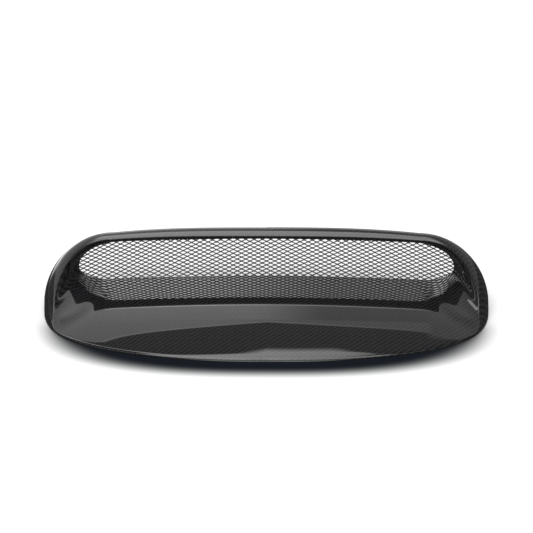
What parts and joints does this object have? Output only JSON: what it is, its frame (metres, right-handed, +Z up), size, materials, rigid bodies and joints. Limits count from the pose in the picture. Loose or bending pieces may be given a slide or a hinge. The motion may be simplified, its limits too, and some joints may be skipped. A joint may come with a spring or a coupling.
{
  "type": "bonnet scoop",
  "caption": "Open-backed bonnet scoop: a moulded carbon ring with a broad front ramp, a thin arch and an expanded metal grille across its mouth.",
  "frame": {"origin": "middle of the bonding land under the front of the lip, on the centre line, at the level of the bonnet", "axes": "+X across the car, +Y back from the lip to the arch, +Z up from the bonnet"},
  "size_m": [0.6038, 0.2418, 0.0883],
  "materials": {
    "carbon": "carbon twill under a clear gloss coat",
    "black_mesh": "satin black",
    "adhesive": "matte black",
    "zinc_steel": "bright zinc plate"
  },
  "bodies": {
    "root": {"shell": "carbon", "grille": "black_mesh", "grille_bond": "adhesive", "stud_left_outer": "zinc_steel", "stud_left_inner": "zinc_steel", "stud_right_inner": "zinc_steel", "stud_right_outer": "zinc_steel"}
  },
  "joints": []
}
